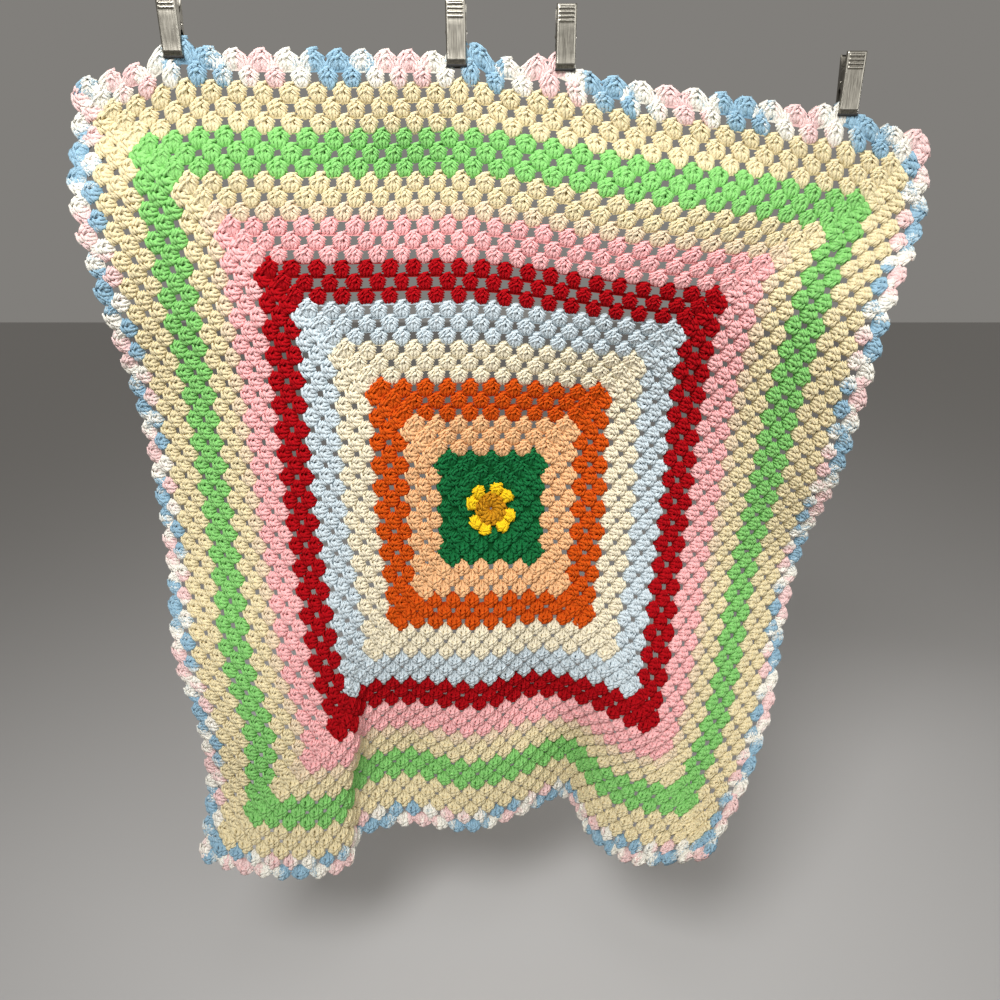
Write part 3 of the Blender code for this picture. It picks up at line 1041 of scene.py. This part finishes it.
def new_group(name, inputs, outputs):
    tree = bpy.data.node_groups.new(name, "ShaderNodeTree")
    for label, kind, value in inputs:
        socket = tree.interface.new_socket(name=label, in_out="INPUT", socket_type=kind)
        socket.default_value = value
    for label, kind in outputs:
        tree.interface.new_socket(name=label, in_out="OUTPUT", socket_type=kind)
    return tree, tree.nodes.new("NodeGroupInput").outputs, tree.nodes.new("NodeGroupOutput")


def plied_yarn_group():
    """Plies twisted round each other: 1 on the crown of a ply, 0 in the groove."""
    tree, given, result = new_group(
        "plied_yarn",
        (("Plies", "NodeSocketFloat", 3.0), ("Turn", "NodeSocketFloat", 9.0)),
        (("Ply", "NodeSocketFloat"),),
    )
    strand = attribute(tree, "strand", "Vector")
    parts = node(tree, "ShaderNodeSeparateXYZ", {"Vector": strand}).outputs
    angle = math_node(tree, "ARCTAN2", parts["Y"], parts["X"])
    turns = math_node(tree, "DIVIDE", parts["Z"], given["Turn"])
    lean = math_node(tree, "MULTIPLY_ADD", turns, 2 * math.pi, angle)
    half = math_node(tree, "MULTIPLY", math_node(tree, "MULTIPLY", lean, given["Plies"]), 0.5)
    ply = math_node(tree, "ABSOLUTE", math_node(tree, "SINE", half))
    tree.links.new(ply, result.inputs["Ply"])
    return tree


def yarn_fibre_group():
    """Loose fibre: a fine uneven nap and a slower drift in tone."""
    tree, given, result = new_group(
        "yarn_fibre",
        (("Fineness", "NodeSocketFloat", 620.0), ("Drift Scale", "NodeSocketFloat", 70.0)),
        (("Nap", "NodeSocketFloat"), ("Drift", "NodeSocketFloat")),
    )
    where = node(tree, "ShaderNodeTexCoord").outputs["Object"]
    tree.links.new(noise(tree, where, given["Fineness"], 3.0), result.inputs["Nap"])
    tree.links.new(noise(tree, where, given["Drift Scale"], 2.0), result.inputs["Drift"])
    return tree


def yarn_shade_group():
    """How light the yarn is from its nap and its stitch's tone, with painted shade in the grooves
    between plies and on yarn that lies deep, and how much richer its colour is painted there.
    """
    tree, given, result = new_group(
        "yarn_shade",
        (
            ("Ply", "NodeSocketFloat", 1.0),
            ("Nap", "NodeSocketFloat", 0.5),
            ("Drift", "NodeSocketFloat", 0.5),
        ),
        (("Shade", "NodeSocketFloat"), ("Depth", "NodeSocketFloat")),
    )
    # Painted shade in the grooves between plies, with the nap, drift and stitch tone added.
    total = math_node(tree, "MULTIPLY_ADD", given["Ply"], PLY_PAINTED_LIGHT, GROOVE_PAINTED_SHADE)
    for value, weight in (
        (given["Nap"], NAP_LIGHT),
        (given["Drift"], DRIFT_LIGHT),
        (attribute(tree, "tone"), STITCH_LIGHT),
    ):
        total = math_node(tree, "ADD", total, centred(tree, value, weight))
    # Painted shade: yarn that lies deep is darkened, and its colour made richer by the gamma.
    relief_shade = attribute(tree, "relief_shade")
    painted_deep_shade = math_node(tree, "MULTIPLY_ADD", relief_shade, RELIEF_PAINTED_LIGHT, DEEP_PAINTED_SHADE)
    shade = math_node(tree, "MINIMUM", math_node(tree, "MULTIPLY", total, painted_deep_shade), MOST_LIGHT)
    depth = math_node(tree, "MULTIPLY_ADD", relief_shade, RELIEF_SHADE_GAMMA, DEEP_SHADE_GAMMA)
    tree.links.new(shade, result.inputs["Shade"])
    tree.links.new(depth, result.inputs["Depth"])
    return tree


def metal_grain_group():
    """Sheet metal brushed up and down: its fine streaks and the dull patches on it."""
    tree, given, result = new_group(
        "metal_grain",
        (("Fineness", "NodeSocketFloat", 900.0), ("Patch Scale", "NodeSocketFloat", 130.0)),
        (("Streak", "NodeSocketFloat"), ("Patch", "NodeSocketFloat")),
    )
    where = node(tree, "ShaderNodeTexCoord").outputs["Object"]
    drawn = node(tree, "ShaderNodeMapping", {"Vector": where, "Scale": STREAK_STRETCH}).outputs[0]
    tree.links.new(noise(tree, drawn, given["Fineness"], 3.0), result.inputs["Streak"])
    tree.links.new(noise(tree, where, given["Patch Scale"], 3.0), result.inputs["Patch"])
    return tree


def new_material(name):
    made = bpy.data.materials.new(name)
    made.use_nodes = True
    return made, made.node_tree, made.node_tree.nodes["Principled BSDF"]


def raised(tree, shader, height, strength, distance):
    """Makes the surface rise and fall with a height that the nodes give."""
    inputs = {"Height": height, "Strength": strength, "Distance": distance}
    bump = node(tree, "ShaderNodeBump", inputs)
    tree.links.new(bump.outputs["Normal"], shader.inputs["Normal"])


def variegated_colour(tree, nap):
    """The edging's yarn, dyed blue, white, pink and white again along its length."""
    ramp = tree.nodes.new("ShaderNodeValToRGB")
    uneven = math_node(tree, "SUBTRACT", nap, 0.5)
    mingled = math_node(tree, "MULTIPLY_ADD", uneven, DYE_MINGLE, attribute(tree, "dye"))
    tree.links.new(math_node(tree, "FRACT", mingled), ramp.inputs["Fac"])
    elements = ramp.color_ramp.elements
    elements[1].position = DYE_STOPS[-1][0]
    for place, _ in DYE_STOPS[1:-1]:
        elements.new(place)
    for element, (_, colour) in zip(elements, DYE_STOPS, strict=True):
        element.color = (*colour, 1.0)
    return ramp.outputs["Color"]


def yarn_material(name, groups, colour=None):
    """Matte plied acrylic in one colour, or in the edging's changing colours."""
    made, tree, shader = new_material(name)
    plied = node(tree, "ShaderNodeGroup", node_tree=groups["plied_yarn"])
    fibre = node(tree, "ShaderNodeGroup", node_tree=groups["yarn_fibre"])
    shade = node(tree, "ShaderNodeGroup", node_tree=groups["yarn_shade"])
    for source, label in ((plied, "Ply"), (fibre, "Nap"), (fibre, "Drift")):
        tree.links.new(source.outputs[label], shade.inputs[label])
    if colour is None:
        base = variegated_colour(tree, fibre.outputs["Nap"])
    else:
        base = node(tree, "ShaderNodeRGB").outputs[0]
        base.default_value = (*colour, 1.0)
    # Painted shade: the colour is made darker and richer in ply grooves and where the yarn lies
    # deep.
    deep = node(tree, "ShaderNodeGamma", {"Color": base, "Gamma": shade.outputs["Depth"]})
    toned_and_shaded = mixed(tree, "MULTIPLY", 1.0, deep.outputs["Color"], shade.outputs["Shade"])
    tree.links.new(toned_and_shaded, shader.inputs["Base Color"])
    shader.inputs["Roughness"].default_value = 0.92
    shader.inputs["Specular IOR Level"].default_value = 0.12
    shader.inputs["Sheen Weight"].default_value = 0.12
    shader.inputs["Sheen Roughness"].default_value = 0.5
    shader.inputs["Sheen Tint"].default_value = (*(colour or VARIEGATED_WHITE), 1.0)
    height = math_node(tree, "MULTIPLY_ADD", fibre.outputs["Nap"], 0.5, plied.outputs["Ply"])
    raised(tree, shader, height, strength=0.45, distance=0.0005)
    return made


def metal_material(name, groups, roughness, fineness):
    """Brushed steel, paler where it has rubbed and where a highlight is painted on, and smoother
    where it has rubbed.
    """
    made, tree, shader = new_material(name)
    grain = node(tree, "ShaderNodeGroup", {"Fineness": fineness}, node_tree=groups["metal_grain"])
    rub_and_highlight = attribute(tree, "rub_and_highlight")
    # Painted highlight and rubbing: the mask lightens the steel's colour.
    lit = math_node(tree, "MULTIPLY_ADD", rub_and_highlight, RUB_AND_HIGHLIGHT_BRIGHTENS, grain.outputs["Streak"])
    low, high = STEEL_STREAKS
    span = node(tree, "ShaderNodeMapRange", {"Value": lit, "From Min": low, "From Max": high})
    steel = mixed(tree, "MIX", span.outputs[0], STEEL_DULL, STEEL_BRIGHT)
    tree.links.new(steel, shader.inputs["Base Color"])
    shader.inputs["Metallic"].default_value = 1.0
    rough = math_node(tree, "MULTIPLY_ADD", grain.outputs["Patch"], PATCH_ROUGHENS, roughness)
    rough = math_node(tree, "MULTIPLY_ADD", rub_and_highlight, RUB_SMOOTHS, rough)
    tree.links.new(rough, shader.inputs["Roughness"])
    raised(tree, shader, grain.outputs["Streak"], strength=0.3, distance=0.0001)
    return made


def rubber_material(name, groups):
    """Dark moulded rubber, dusty in patches."""
    made, tree, shader = new_material(name)
    grain = node(tree, "ShaderNodeGroup", {"Fineness": 400.0}, node_tree=groups["metal_grain"])
    dusty = mixed(tree, "MIX", grain.outputs["Patch"], RUBBER_BLACK, RUBBER_DUST)
    tree.links.new(dusty, shader.inputs["Base Color"])
    shader.inputs["Roughness"].default_value = 0.7
    shader.inputs["Specular IOR Level"].default_value = 0.3
    raised(tree, shader, grain.outputs["Patch"], strength=0.3, distance=0.0002)
    return made


def floor_material():
    made, _, shader = new_material("floor_paint")
    shader.inputs["Base Color"].default_value = (*FLOOR_COLOUR, 1.0)
    shader.inputs["Roughness"].default_value = 0.9
    return made


def studio():
    camera = placed("camera", bpy.data.cameras.new("camera"))
    camera.data.lens = CAMERA_LENS
    camera.location = CAMERA_PLACE
    camera.rotation_euler = (math.radians(90 - CAMERA_PITCH), 0, 0)
    bpy.context.scene.camera = camera
    bm = bmesh.new()
    bmesh.ops.create_grid(bm, x_segments=1, y_segments=1, size=FLOOR_REACH)
    mesh = bpy.data.meshes.new("floor")
    bm.to_mesh(mesh)
    bm.free()
    mesh.materials.append(floor_material())
    floor = placed("floor", mesh)
    floor.location = (0, 0, FLOOR_HEIGHT)
    for light in LIGHTS:
        lamp = placed(light["name"], bpy.data.lights.new(light["name"], "AREA"))
        lamp.data.size = light["size"]
        lamp.data.energy = light["power"]
        lamp.data.spread = math.radians(light["spread"])
        lamp.location = light["place"]
        aim = Vector(LIGHTS_AIM) - Vector(light["place"])
        lamp.rotation_euler = aim.to_track_quat("-Z", "Y").to_euler()
    world = bpy.data.worlds.new("studio")
    world.use_nodes = True
    background = world.node_tree.nodes["Background"].inputs
    background["Color"].default_value = WORLD_COLOUR
    background["Strength"].default_value = WORLD_STRENGTH
    bpy.context.scene.world = world
    bpy.context.scene.view_settings.view_transform = "Standard"


def main():
    studio()
    groups = {
        "plied_yarn": plied_yarn_group(),
        "yarn_fibre": yarn_fibre_group(),
        "yarn_shade": yarn_shade_group(),
        "metal_grain": metal_grain_group(),
    }
    yarns = {name: yarn_material(name, groups, colour) for name, colour in YARN_COLOURS.items()}
    yarns["variegated_yarn"] = yarn_material("variegated_yarn", groups)
    for band in BANDS:
        first, last = band["rounds"]
        rows = [row for number in range(first, last + 1) for row in stitches_of_round(number)]
        piece = worked_yarn(band["name"], rows)
        piece.data.materials.append(yarns[band["yarn"]])
        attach(piece, "root")
        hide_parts("afghan")
    ground = ground_sheet(yarns)
    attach(ground, "root")
    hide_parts("afghan")
    metals = (
        metal_material("brushed_steel", groups, roughness=0.30, fineness=900.0),
        rubber_material("lip_rubber", groups),
        metal_material("coil_steel", groups, roughness=0.22, fineness=2200.0),
    )
    jaws = []
    for clip in CLIPS:
        pieces = dress_clip(clip, metals)
        jaws += [piece.name for piece in pieces if piece.name.endswith("_plate")]
    ground_flat_area()


main()
